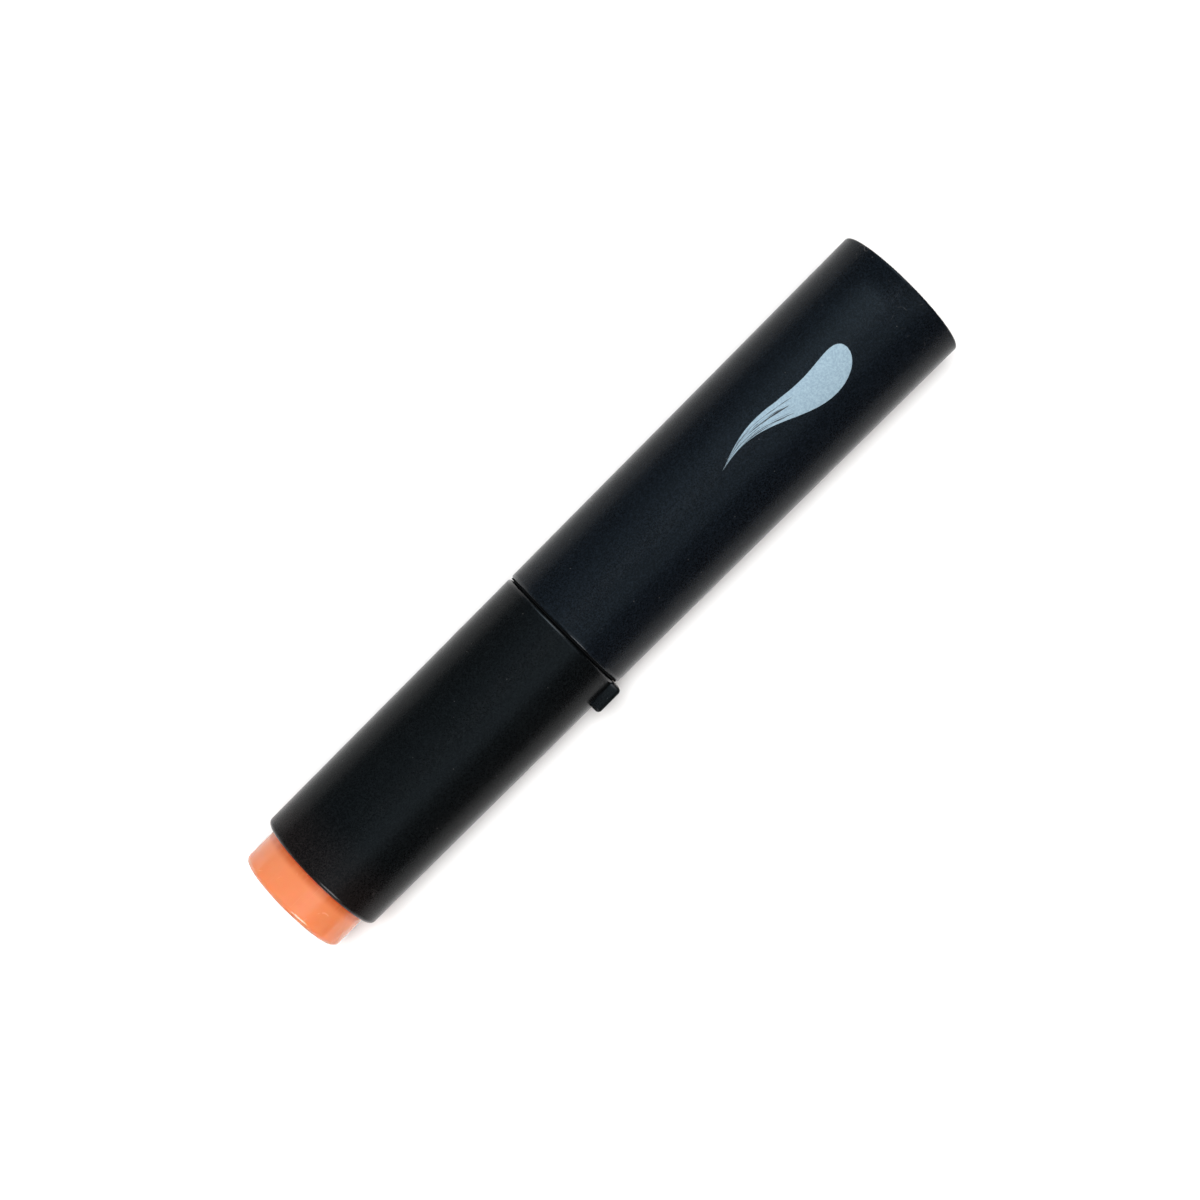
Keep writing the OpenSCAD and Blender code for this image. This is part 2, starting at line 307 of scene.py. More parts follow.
PRINT_BLUE = (0.165, 0.245, 0.305, 1)
PRINT_PALE = (0.245, 0.345, 0.41, 1)

# Finish of the plastics
SATIN_IOR = 1.18  # low, as the grain breaks up the gloss
GLOSS_IOR = 1.45
GRAIN_DEPTH = 0.004 * MM
EDGE_GLOSS = 0.22
DUST_WEIGHT = 0.13
SEAM_DULLNESS = 0.7
SEE_THROUGH_DEPTH = 1.8 * MM
SEE_THROUGH_SHARES = (1.0, 0.3, 0.12)  # of that depth, for red, green and blue light

# Zones of wear and shade, as distances from an edge
WEAR_START = 0.3 * MM
WEAR_END = 7 * MM
POLISH_START = 0.2 * MM
POLISH_END = 0.5 * MM
FLARE_REACH = 3.4 * MM
FLARE_RISE = 0.45 * MM
CREASE_START = 0.14 * MM
CREASE_END = 0.3 * MM
SHADE_END = 1.2 * MM
END_FACE_START = 0.4 * MM
END_FACE_END = 0.9 * MM


def noise(place, scale, detail=2, roughness=0.5):
    """Cloudy pattern from 0 to 1, with scale patches to the metre."""
    return place.tree.node("ShaderNodeTexNoise", {}, {
        "Vector": place, "Scale": scale, "Detail": detail, "Roughness": roughness})


def drawn_noise(place, lengthwise, across, detail=2, roughness=0.5):
    """Cloudy pattern drawn out along X, with its patches to the metre that way and across it."""
    return noise(place.scaled(lengthwise, across, across), 1, detail, roughness)


def specks(place, scale, size, share):
    """Small round specks in a share of the cells of a pattern with scale cells to the metre."""
    cells = place.tree.node("ShaderNodeTexVoronoi", {}, {"Vector": place, "Scale": scale})
    chosen = place.tree.node("ShaderNodeSeparateColor", {}, {"Color": cells.at("Color")})
    return (1 - cells.smooth(size / 2, size)) * chosen.math("GREATER_THAN", chosen, 1 - share)


def hairs(place, scale, width):
    """Thin wandering lines, where a cloudy pattern passes through its middle."""
    return noise(place, scale, detail=1).near(0.5, width / 2, width)


def relief(height, depth):
    """Normal of a surface that a pattern raises by depth."""
    return height.tree.node("ShaderNodeBump", {}, {"Distance": depth, "Height": height})


def object_place(tree):
    return tree.node("ShaderNodeTexCoord", {}, {}, "Object")


def along(place):
    """X of a place: metres on a piece, or the share of the way along the printed stroke."""
    return place.tree.node("ShaderNodeSeparateXYZ", {}, {"Vector": place}, "X")


def grey(value):
    return (value, value, value, 1)


def satin_black(tree, colour, worn_x, rubbed, scuffed, polished, flare=0.0, dull=0.0):
    """Moulded black plastic with a fine spark-eroded grain and dust. Towards the edge at worn_x it is
    rubbed to a warmer black, scuffed and shaded as if it rose by flare. The edges in polished are glossy
    from use."""
    place = object_place(tree)
    x = along(place)
    grain = noise(place, scale=8000, detail=3, roughness=0.7)
    flecks = noise(place, scale=5000).smooth(0.35, 0.75)
    clouds = noise(place, scale=160)
    lines = drawn_noise(place, lengthwise=60, across=2600)
    from_edge = abs(x - worn_x)
    near_edge = 1 - from_edge.smooth(WEAR_START, WEAR_END)
    scuffs = hairs(place, scale=380, width=0.004) * near_edge * noise(place, scale=800).smooth(0.5, 0.62)
    dust = specks(place, scale=900, size=0.07, share=0.4)
    gloss = sum(x.near(edge, POLISH_START, POLISH_END) for edge in polished)
    lift = (1 - from_edge / FLARE_REACH).at_least(0) ** 2
    colour = (near_edge * rubbed).blend(colour, RUBBED_BLACK)
    light = 0.22 + flecks * 1.15 + clouds * 0.3 + lines * 0.2
    colour = tree.node("ShaderNodeVectorMath", {"operation": "SCALE"}, {0: colour, "Scale": light})
    colour = (scuffs * scuffed).blend(colour, grey(0.35))
    colour = (dust * DUST_WEIGHT).blend(colour, grey(0.3))
    rough = 0.2 + grain * 0.1 + clouds * 0.05 - scuffs * 0.06 + dull
    height = grain + flecks + scuffs * 0.5 + dust + lift * (flare / GRAIN_DEPTH)
    return tree.node("ShaderNodeBsdfPrincipled", {}, {
        "Base Color": colour, "Roughness": rough, "IOR": SATIN_IOR, "Specular Tint": SATIN_SHEEN,
        "Coat Weight": gloss * EDGE_GLOSS, "Coat Roughness": 0.12, "Normal": relief(height, GRAIN_DEPTH)})


def barrel_plastic(tree):
    return satin_black(tree, BARREL_BLACK, worn_x=REAR_X, rubbed=0.0, scuffed=0.14, polished=[SEAM_X],
                       flare=FLARE_RISE)


def cap_plastic(tree):
    return satin_black(tree, CAP_BLACK, worn_x=SHELL_END_X, rubbed=0.7, scuffed=0.05,
                       polished=[MOUTH_X, SHELL_END_X])


def section_plastic(tree):
    """Black section, dull in the seam and darker there with painted shade."""
    seam = MOUTH_X - SEAM_X
    in_seam = along(object_place(tree)).near(SEAM_X, seam, 2 * seam)
    # Painted shade: the section is darker where it shows in the seam's gap
    colour = in_seam.blend(SECTION_BLACK, SEAM_SHADE_BLACK)
    return satin_black(tree, colour, worn_x=NOSE_X, rubbed=0.3, scuffed=0.05, polished=[NOSE_X],
                       dull=in_seam * SEAM_DULLNESS)


def ink_colour_plastic(tree):
    """Glossy orange plastic, a little see-through, with fine streaks and scratches. It has painted shade
    towards the shell, a deep red line of painted shade where it leaves the shell, and is a little duller on
    its end."""
    place = object_place(tree)
    x = along(place)
    streaks = drawn_noise(place, lengthwise=40, across=4200).smooth(0.64, 0.78)
    scratches = hairs(place, scale=300, width=0.008) * noise(place, scale=700).smooth(0.55, 0.63)
    clouds = noise(place, scale=260)
    patches = drawn_noise(place, lengthwise=60, across=1500).smooth(0.3, 0.7)
    from_shell = abs(x - SHELL_END_X)
    # Painted shade: a deep red line at the shell's edge and a shaded band past it
    crease_shade = 1 - from_shell.smooth(CREASE_START, CREASE_END)
    shade = (1 - from_shell.smooth(CREASE_END, SHADE_END)) * (0.56 + patches * 0.2)
    at_end = x.near(STUB_END_X, END_FACE_START, END_FACE_END)
    colour = clouds.blend(DEEP_ORANGE, CLEAR_ORANGE)
    colour = shade.blend(colour, SHADED_ORANGE)
    colour = (streaks * 0.2).blend(colour, STREAK_ORANGE)
    colour = (scratches * 0.3).blend(colour, SCRATCH_ORANGE)
    colour = (crease_shade * 0.7).blend(colour, CREASE_SHADE_RED)
    rough = 0.04 + clouds * 0.03 + streaks * 0.06 + at_end * 0.08
    return tree.node("ShaderNodeBsdfPrincipled", {}, {
        "Base Color": colour, "Roughness": rough, "IOR": GLOSS_IOR, "Subsurface Weight": 0.7,
        "Subsurface Radius": SEE_THROUGH_SHARES, "Subsurface Scale": SEE_THROUGH_DEPTH,
        "Normal": relief(streaks + scratches, depth=0.0012 * MM)})


def fibre(tree, dry, soaked, depth):
    """Bonded fibres along X, soaked unevenly with ink."""
    place = object_place(tree)
    strands = drawn_noise(place, lengthwise=900, across=11000, detail=3, roughness=0.6)
    patches = noise(place.scaled(0.6, 1, 1), scale=700, detail=3)
    colour = (strands * 0.5 + patches * 0.6).smooth(0.25, 0.85).blend(soaked, dry)
    return tree.node("ShaderNodeBsdfPrincipled", {}, {
        "Base Color": colour, "Roughness": 0.6 + strands * 0.25, "Normal": relief(strands, depth),
        "Sheen Weight": 0.15})


def nib_fibre(tree):
    return fibre(tree, dry=(0.9, 0.3, 0.1, 1), soaked=(0.66, 0.12, 0.02, 1), depth=0.03 * MM)


def wick_fibre(tree):
    return fibre(tree, dry=(0.86, 0.3, 0.12, 1), soaked=(0.6, 0.11, 0.02, 1), depth=0.04 * MM)


def core_fibre(tree):
    return fibre(tree, dry=(0.85, 0.27, 0.1, 1), soaked=(0.55, 0.1, 0.02, 1), depth=0.05 * MM)


def case_plastic(tree):
    """Milky cartridge case with fine rubbed lines, warm where the soaked core shows through it, which is
    between the plug and the seal."""
    place = object_place(tree)
    x = along(place)
    clouds = noise(place, scale=220, detail=3)
    rubbed = drawn_noise(place, lengthwise=50, across=3000).smooth(0.6, 0.75)
    past_plug = x.smooth(PLUG_FRONT_X - 1 * MM, PLUG_FRONT_X + 1.5 * MM)
    past_core = x.smooth(SEAL_FRONT_X - 3 * MM, SEAL_FRONT_X - 1 * MM)
    core = past_plug * (1 - past_core)
    colour = (core * (0.6 + clouds * 0.5)).blend(CASE_WHITE, CASE_TINT)
    colour = (rubbed * 0.2).blend(colour, grey(0.85))
    return tree.node("ShaderNodeBsdfPrincipled", {}, {
        "Base Color": colour, "Roughness": 0.3 + clouds * 0.1 + rubbed * 0.1,
        "Normal": relief(rubbed + clouds, depth=0.003 * MM)})


def plug_plastic(tree):
    """Black plug with a coarser moulded grain."""
    place = object_place(tree)
    grain = noise(place, scale=5200, detail=3, roughness=0.6)
    clouds = noise(place, scale=260)
    colour = (grain * 0.6 + clouds * 0.5).blend(grey(0.006), grey(0.018))
    return tree.node("ShaderNodeBsdfPrincipled", {}, {
        "Base Color": colour, "Roughness": 0.45 + grain * 0.2, "Normal": relief(grain, depth=0.012 * MM)})


def seal_rubber(tree):
    """Soft dark rubber, dull and a little dusty."""
    bloom = noise(object_place(tree), scale=900, detail=3)
    colour = bloom.blend(grey(0.02), grey(0.05))
    return tree.node("ShaderNodeBsdfPrincipled", {}, {
        "Base Color": colour, "Roughness": 0.7 + bloom * 0.2, "Normal": relief(bloom, depth=0.01 * MM)})


def core_film(tree):
    """Thin film, tinted by the soaked core behind it, with fine lengthwise wrinkles."""
    wrinkles = drawn_noise(object_place(tree), lengthwise=120, across=1800)
    colour = wrinkles.blend(FILM_TINT, FILM_PALE)
    return tree.node("ShaderNodeBsdfPrincipled", {}, {
        "Base Color": colour, "Roughness": 0.15 + wrinkles * 0.15,
        "Normal": relief(wrinkles, depth=0.02 * MM)})


def print_ink(tree):
    """Pale grey-blue pad print that thins into dry streaks towards its tail."""
    grain = noise(object_place(tree), scale=4500, detail=3, roughness=0.7).smooth(0.3, 0.7)
    stroke = tree.node("ShaderNodeAttribute", {"attribute_name": "stroke"}, {}, "Vector")
    bristles = noise(stroke.scaled(2.5, 5, 1), scale=1, detail=3, roughness=0.6)
    tail = along(stroke).smooth(0.3, 1.0)
    gaps = (bristles + tail * 0.16).smooth(0.62, 0.66) * tail.smooth(0.02, 0.2)
    ink = grain.blend(PRINT_BLUE, PRINT_PALE)
    colour = gaps.blend(ink, BARREL_BLACK)
    return tree.node("ShaderNodeBsdfPrincipled", {}, {
        "Base Color": colour, "Roughness": 0.42 + grain * 0.1, "Normal": relief(grain - gaps, GRAIN_DEPTH)})


def floor_white(tree):
    """Pale matte table top with a faint mottle."""
    mottle = noise(object_place(tree), scale=30, detail=4)
    colour = mottle.blend(grey(0.82), grey(0.84))
    return tree.node("ShaderNodeBsdfPrincipled", {}, {
        "Base Color": colour, "Roughness": 0.8 + mottle * 0.1, "Specular IOR Level": 0.1})


def material(looks):
    """A material named for the function that builds its nodes."""
    made = bpy.data.materials.new(looks.__name__)
    made.use_nodes = True
    made.node_tree.nodes.clear()
    tree = Tree(made.node_tree)
    tree.node("ShaderNodeOutputMaterial", {}, {"Surface": looks(tree)})
    return made


# Turned pieces. A corner of an outline has its X, its radius, its round and 1 where flutes are cut into it
Corner = namedtuple("Corner", "x radius round fluted", defaults=(0, 0))
OUTLINE_VALUES = ("round", "fluted")


def new_geometry_tree(name, inputs):
    """A Geometry Nodes tree that takes and gives geometry and has the named inputs."""
    group = bpy.data.node_groups.new(name, "GeometryNodeTree")
    group.interface.new_socket("Geometry", in_out="INPUT", socket_type="NodeSocketGeometry")
    group.interface.new_socket("Geometry", in_out="OUTPUT", socket_type="NodeSocketGeometry")
    for label, kind in inputs.items():
        group.interface.new_socket(label, in_out="INPUT", socket_type="NodeSocket" + kind)
    return group


def close_geometry_tree(tree, geometry, looks):
    """Ends a tree in Realize Instances and Set Material."""
    real = tree.node("GeometryNodeRealizeInstances", {}, {"Geometry": geometry})
    painted = tree.node("GeometryNodeSetMaterial", {}, {"Geometry": real, "Material": looks})
    tree.node("NodeGroupOutput", {}, {"Geometry": painted})


def vector(tree, x, y, z):
    return tree.node("ShaderNodeCombineXYZ", {}, {"X": x, "Y": y, "Z": z})


def named_value(tree, name):
    return tree.node("GeometryNodeInputNamedAttribute", {"data_type": "FLOAT"}, {"Name": name})


def turning_tree():
    """Rounds the corners of an outline, turns it about the marker's axis and cuts its flutes. The turning
    is a sweep along a circle of the hub's radius."""
    group = new_geometry_tree("turned piece", {
        "Turn steps": "Int", "Round steps": "Int", "Hub": "Float", "Axis height": "Float",
        "Flutes": "Int", "Flute radius": "Float", "Flute centre": "Float", "Material": "Material"})
    tree = Tree(group)
    given = tree.node("NodeGroupInput")
    hub = given.at("Hub")
    outline = tree.node("GeometryNodeMeshToCurve", {}, {"Mesh": given})
    rounded = tree.node("GeometryNodeFilletCurve", {"mode": "POLY"}, {
        "Curve": outline, "Count": given.at("Round steps"), "Radius": named_value(tree, "round"),
        "Limit Radius": True})
    profile = tree.node("GeometryNodeTransform", {}, {
        "Geometry": rounded, "Translation": vector(tree, 0 - hub, 0, 0)})
    circle = tree.node("GeometryNodeCurvePrimitiveCircle", {}, {
        "Resolution": given.at("Turn steps"), "Radius": hub})
    turned = tree.node("GeometryNodeCurveToMesh", {}, {"Curve": circle, "Profile Curve": profile})

    # Each flute is a round channel about a point on the bore, and fluted corners move out to its far side
    place = tree.node("ShaderNodeSeparateXYZ", {}, {"Vector": tree.node("GeometryNodeInputPosition")})
    angle = place.math("ARCTAN2", place.at("Y"), place)
    pitch = 2 * math.pi / given.at("Flutes")
    off_centre = angle.math("FLOORED_MODULO", angle, pitch) - pitch / 2
    centre = given.at("Flute centre")
    half_chord = (given.at("Flute radius") ** 2 - (centre * off_centre.sine()) ** 2).at_least(0) ** 0.5
    cut = (centre * off_centre.cosine() + half_chord - centre).at_least(0) * named_value(tree, "fluted")
    offset = vector(tree, cut * angle.cosine(), cut * angle.sine(), 0)
    fluted = tree.node("GeometryNodeSetPosition", {}, {"Geometry": turned, "Offset": offset})

    closed = tree.node("GeometryNodeMergeByDistance", {}, {"Geometry": fluted, "Distance": MERGE})
    laid = tree.node("GeometryNodeTransform", {}, {
        "Geometry": closed, "Translation": vector(tree, 0, 0, given.at("Axis height")),
        "Rotation": (0, -math.pi / 2, 0)})
    close_geometry_tree(tree, laid, given.at("Material"))
    return group


def held(corners, closed):
    """Adds a corner just past each end of a round, so that smooth shading stays on the round."""
    following = corners[1:] + corners[:1] if closed else corners[1:]
    kept = []
    for here, after in zip(corners, following):
        kept.append(here)
        reach = math.dist(here[:2], after[:2])
        start, end = [corner.round + HOLD if corner.round else 0 for corner in (here, after)]
        if start + end >= reach:
            continue
        for hold, share in ((start, start / reach), (end, 1 - end / reach)):
            if hold:
                kept.append(Corner(here.x + (after.x - here.x) * share,
                                   here.radius + (after.radius - here.radius) * share))
    return kept if closed else kept + corners[-1:]


def outline_mesh(name, corners, closed):
    """Chain of edges through the corners, as (radius, X) points that carry their rounds and flutes."""
    corners = held(corners, closed)
    count = len(corners)
    mesh = bpy.data.meshes.new(name)
    edges = [(i, (i + 1) % count) for i in range(count if closed else count - 1)]
    mesh.from_pydata([(corner.radius, corner.x, 0) for corner in corners], edges, [])
    for label in OUTLINE_VALUES:
        values = mesh.attributes.new(label, "FLOAT", "POINT")
        values.data.foreach_set("value", [getattr(corner, label) for corner in corners])
    return mesh


def linked(name, data):
    """A new object in the scene."""
    made = bpy.data.objects.new(name, data)
    bpy.context.scene.collection.objects.link(made)
    return made


def solidified(piece):
    """Turns a piece's live modifiers into a plain mesh with outward faces and sharp edges."""
    graph = bpy.context.evaluated_depsgraph_get()
    mesh = bpy.data.meshes.new_from_object(piece.evaluated_get(graph), depsgraph=graph)
    piece.modifiers.clear()
    piece.data = mesh
    mesh.name = piece.name
    for label in OUTLINE_VALUES:
        if label in mesh.attributes:
            mesh.attributes.remove(mesh.attributes[label])
    work = bmesh.new()
    work.from_mesh(mesh)
    bmesh.ops.recalc_face_normals(work, faces=work.faces)
    work.to_mesh(mesh)
    work.free()
    mesh.shade_smooth()
    mesh.set_sharp_from_angle(angle=SHARP_ANGLE)
    return piece


def run_tree(piece, group, values):
    """Runs a Geometry Nodes tree on a piece with its named inputs and keeps the result as a plain mesh."""
    modifier = piece.modifiers.new(group.name, "NODES")
    modifier.node_group = group
    for item in group.interface.items_tree:
        if item.in_out == "INPUT" and item.name in values:
            modifier[item.identifier] = values[item.name]
    return solidified(piece)


TURNING = turning_tree()


def turned(name, corners, looks, closed=True):
    """A piece turned from an outline. An open outline starts and ends on the axis."""
    piece = linked(name, outline_mesh(name, corners, closed))
    return run_tree(piece, TURNING, {
        "Turn steps": TURN_STEPS, "Round steps": ROUND_STEPS, "Hub": SEAM_RADIUS, "Axis height": AXIS_Z,
        "Flutes": FLUTES, "Flute radius": FLUTE_RADIUS, "Flute centre": NIB_BORE_RADIUS, "Material": looks})


def ring(x, radius, height, direction=1):
    """Corners of a snap bead, or of its groove, round a turned piece. The direction is -1 where the outline
    runs towards -X."""
    half = math.sqrt(BEAD_SECTION ** 2 - (BEAD_SECTION - height) ** 2) * direction
    return [Corner(x - half, radius), Corner(x, radius + height, BEAD_SECTION), Corner(x + half, radius)]


def rounded_block(name, low, high, edge_round, looks):
    """Box between two corners with all its edges rounded."""
    work = bmesh.new()
    bmesh.ops.create_cube(work, size=1)
    for vertex in work.verts:
        vertex.co = [a + (b - a) * (share + 0.5) for a, b, share in zip(low, high, vertex.co)]
    bmesh.ops.bevel(work, geom=work.edges[:], offset=edge_round, segments=ROUND_STEPS, profile=0.5,
                    affect="EDGES", clamp_overlap=True)
    mesh = bpy.data.meshes.new(name)
    work.to_mesh(mesh)
    work.free()
    mesh.materials.append(looks)
    return linked(name, mesh)


def joined(piece, block):
    """Joins a block to a piece as one closed mesh."""
    union = piece.modifiers.new("join", "BOOLEAN")
    union.operation = "UNION"
    union.solver = "EXACT"
    union.object = block
    solidified(piece)
    bpy.data.objects.remove(block)
    return piece


# The marker's pieces
def make_barrel(looks):
    return turned("barrel_sleeve", [
        Corner(REAR_X, REAR_RADIUS, RIM_ROUND), Corner(SEAM_X, SEAM_RADIUS, SEAM_ROUND),
        Corner(SEAM_X, BORE_RADIUS, THIN_ROUND), *ring(SPIGOT_BEAD_X, BORE_RADIUS, BEAD_HEIGHT, -1),
        *ring(CASE_BEAD_X, BORE_RADIUS, BEAD_HEIGHT, -1), Corner(SEAT_X, BORE_RADIUS, THIN_ROUND),
        Corner(SEAT_X, SEAT_RADIUS), Corner(SOCKET_X, SEAT_RADIUS, THIN_ROUND),
        Corner(SOCKET_X, SOCKET_RADIUS), Corner(REAR_X, SOCKET_RADIUS, THIN_ROUND)], looks)


def make_cap_shell(looks):
    end_bore = STUB_RADIUS + PRESS_GAP
    shell = turned("cap_sleeve", [
        Corner(MOUTH_X, SEAM_RADIUS, MOUTH_ROUND), Corner(SHELL_END_X, SHELL_END_RADIUS, SHELL_END_ROUND),
        Corner(SHELL_END_X, end_bore, THIN_ROUND), *ring(SKIRT_BEAD_X, end_bore, BEAD_HEIGHT, -1),
        Corner(LINER_STOP_X, end_bore), Corner(LINER_STOP_X, LINER_BORE_RADIUS),
        Corner(NECK_END_X, CAP_BORE_RADIUS), *ring(NECK_BEAD_X, CAP_BORE_RADIUS, BEAD_HEIGHT, -1),
        Corner(ROOT_FRONT_X, CAP_BORE_RADIUS), Corner(MOUTH_X, MOUTH_BORE_RADIUS)], looks)
    root = (CAP_BORE_RADIUS + SHELL_END_RADIUS) / 2
    tab = rounded_block("tab", (MOUTH_X, root - TAB_ROUND / 2, AXIS_Z - TAB_WIDTH / 2),
                        (MOUTH_X + TAB_LENGTH, TAB_REACH, AXIS_Z + TAB_WIDTH / 2), TAB_ROUND, looks)
    return joined(shell, tab)


def make_inner_cap(looks):
    skirt_bore = STUB_RADIUS - LINER_WALL
    seal_tube = SEAL_BORE_RADIUS + LINER_WALL
    lip_radius = LINER_BORE_RADIUS - PRESS_GAP
    lip_x = LINER_STOP_X - LIP_LENGTH
    return turned("ink_colour_liner", [
        Corner(STUB_END_X, 0), Corner(STUB_END_X, STUB_RADIUS, STUB_ROUND),
        *ring(SKIRT_BEAD_X, STUB_RADIUS, BEAD_HEIGHT, -1), Corner(LINER_STOP_X, STUB_RADIUS),
        Corner(LINER_STOP_X, lip_radius, THIN_ROUND), Corner(lip_x, lip_radius, THIN_ROUND),
        Corner(lip_x, skirt_bore, THIN_ROUND), Corner(CAVITY_END_X, skirt_bore, MOULD_ROUND),
        Corner(CAVITY_END_X, seal_tube, MOULD_ROUND), Corner(SEAL_MOUTH_X, seal_tube, MOULD_ROUND),
        Corner(SEAL_MOUTH_X, SEAL_BORE_RADIUS, MOULD_ROUND),
        Corner(CAVITY_END_X, SEAL_BORE_RADIUS, MOULD_ROUND), Corner(CAVITY_END_X, 0)], looks, closed=False)


def make_front_section(looks):
    nose_start = NOSE_X - NOSE_LENGTH
    fall = NECK_RADIUS - NOSE_RADIUS - 2 * MOULD_ROUND
    cone = [Corner(NECK_END_X + (nose_start - NECK_END_X) * share,
                   NOSE_RADIUS + MOULD_ROUND + fall * (1 + math.cos(math.pi * share)) / 2)
            for share in CURVE_SHARES]
    skirt_bore = SPIGOT_RADIUS - SECTION_WALL
    hollow_x = NECK_END_X - SECTION_WALL
    flute_x = NIB_TAIL_X + FLUTE_RAMP
    return turned("nib_section", [
        Corner(SPIKE_X, WICK_BORE_RADIUS), Corner(SPIKE_X, SPIKE_RADIUS, MOULD_ROUND),
        Corner(hollow_x, SPIKE_RADIUS, MOULD_ROUND), Corner(hollow_x, skirt_bore, MOULD_ROUND),
        Corner(SPIGOT_REAR_X, skirt_bore, THIN_ROUND), Corner(SPIGOT_REAR_X, SPIGOT_RADIUS, MOULD_ROUND),
        *ring(SPIGOT_BEAD_X, SPIGOT_RADIUS, BEAD_HEIGHT), Corner(SEAM_X, SPIGOT_RADIUS),
        Corner(SEAM_X, COLLAR_RADIUS), Corner(COLLAR_FRONT_X, COLLAR_RADIUS),
        Corner(COLLAR_FRONT_X, ROOT_RADIUS), Corner(ROOT_FRONT_X, NECK_RADIUS),
        *ring(NECK_BEAD_X, NECK_RADIUS, BEAD_HEIGHT),
        Corner(NECK_END_X - MOULD_ROUND, NECK_RADIUS, THIN_ROUND),
        *cone, Corner(nose_start, NOSE_RADIUS), Corner(NOSE_X, NOSE_RADIUS, NOSE_ROUND),
        Corner(NOSE_X, NIB_BORE_RADIUS, fluted=1), Corner(flute_x + FLUTE_RAMP, NIB_BORE_RADIUS, fluted=1),
        Corner(flute_x, NIB_BORE_RADIUS), Corner(NIB_TAIL_X, NIB_BORE_RADIUS),
        Corner(NIB_TAIL_X, WICK_BORE_RADIUS)], looks)


def make_brush_nib(looks):
    exposed = NIB_TIP_X - NOSE_X - NIB_TIP_RADIUS
    taper = [Corner(NOSE_X + exposed * share,
                    NIB_TIP_RADIUS + (NIB_RADIUS - NIB_TIP_RADIUS) * (1 - share ** NIB_FULLNESS))
             for share in CURVE_SHARES]
    return turned("brush_tip", [
        Corner(NIB_TAIL_X, 0), Corner(NIB_TAIL_X, NIB_RADIUS, MOULD_ROUND), *taper,
        Corner(NIB_TIP_X, NIB_TIP_RADIUS, NIB_TIP_ROUND), Corner(NIB_TIP_X, 0)], looks, closed=False)


def make_cartridge_case(looks):
    hole_radius = SPIKE_RADIUS + CAP_FIT
    return turned("cartridge_case", [
        Corner(CASE_REAR_X, CASE_RADIUS, THIN_ROUND), *ring(CASE_BEAD_X, CASE_RADIUS, BEAD_HEIGHT),
        Corner(CASE_FRONT_X, CASE_RADIUS, MOULD_ROUND), Corner(CASE_FRONT_X, hole_radius, THIN_ROUND),
        Corner(SEAL_FRONT_X, hole_radius), Corner(SEAL_FRONT_X, CASE_BORE_RADIUS),
        Corner(CASE_REAR_X, CASE_BORE_RADIUS, THIN_ROUND)], looks)


def make_end_plug(looks):
    floor_x = FLANGE_X + POCKET_DEPTH
    plug = turned("cartridge_plug", [
        Corner(floor_x, 0), Corner(floor_x, POCKET_RADIUS, MOULD_ROUND),
        Corner(FLANGE_X, POCKET_RADIUS, MOULD_ROUND), Corner(FLANGE_X, FLANGE_RADIUS, MOULD_ROUND),
        Corner(CASE_REAR_X, FLANGE_RADIUS, MOULD_ROUND / 2), Corner(CASE_REAR_X, PLUG_RADIUS),
        Corner(PLUG_FRONT_X, PLUG_RADIUS, MOULD_ROUND), Corner(PLUG_FRONT_X, 0)], looks, closed=False)
    reach = POCKET_RADIUS + MOULD_ROUND
    bar = rounded_block("bar", (FLANGE_X, -PULL_BAR / 2, AXIS_Z - reach),
                        (floor_x + MOULD_ROUND, PULL_BAR / 2, AXIS_Z + reach), MOULD_ROUND / 2, looks)
    return joined(plug, bar)


def stroke_tree():
    """Wraps a tapered brush stroke on the top of the flared barrel, as a thin closed layer. It starts as a
    flat sheet, with the share of the way along the stroke in its X and -1 to 1 across it in its Y."""
    group = new_geometry_tree("printed stroke", {
        "Start": "Float", "Length": "Float", "Half width": "Float", "Sway": "Float",
        "Radius at start": "Float", "Radius growth": "Float", "Axis height": "Float", "Thickness": "Float",
        "Material": "Material"})
    tree = Tree(group)
    given = tree.node("NodeGroupInput")
    sheet = tree.node("GeometryNodeMeshGrid", {}, {
        "Size X": 1, "Size Y": 2, "Vertices X": STROKE_STEPS, "Vertices Y": STROKE_ROWS})
    place = tree.node("ShaderNodeSeparateXYZ", {}, {"Vector": tree.node("GeometryNodeInputPosition")})
    share = (place + 0.5).at_least(0)
    across = place.at("Y")
    per_point = {"data_type": "FLOAT_VECTOR", "domain": "POINT"}
    marked = tree.node("GeometryNodeStoreNamedAttribute", per_point, {
        "Geometry": sheet, "Name": "stroke", "Value": vector(tree, share, across, 0)})
    swell = (share ** STROKE_LEAN * math.pi).sine().at_least(0) ** STROKE_FULLNESS
    arc = (share * 2 * math.pi).sine() * given.at("Sway") + across * swell * given.at("Half width")
    x = given.at("Start") + share * given.at("Length")
    radius = given.at("Radius at start") + share * given.at("Length") * given.at("Radius growth")
    angle = arc / radius
    z = radius * angle.cosine() + given.at("Axis height")
    wrapped = tree.node("GeometryNodeSetPosition", {}, {
        "Geometry": marked, "Position": vector(tree, x, radius * angle.sine(), z)})
    whole = tree.node("GeometryNodeMergeByDistance", {}, {"Geometry": wrapped, "Distance": MERGE})
    raised = tree.node("GeometryNodeExtrudeMesh", {}, {
        "Mesh": whole, "Offset Scale": given.at("Thickness"), "Individual": False})
    both = tree.node("GeometryNodeJoinGeometry", {}, {"Geometry": raised})
    tree.group.links.new(tree.node("GeometryNodeFlipFaces", {}, {"Mesh": whole}).socket,
                         both.socket.node.inputs["Geometry"])
    closed = tree.node("GeometryNodeMergeByDistance", {}, {"Geometry": both, "Distance": MERGE})
    close_geometry_tree(tree, closed, given.at("Material"))
    return group


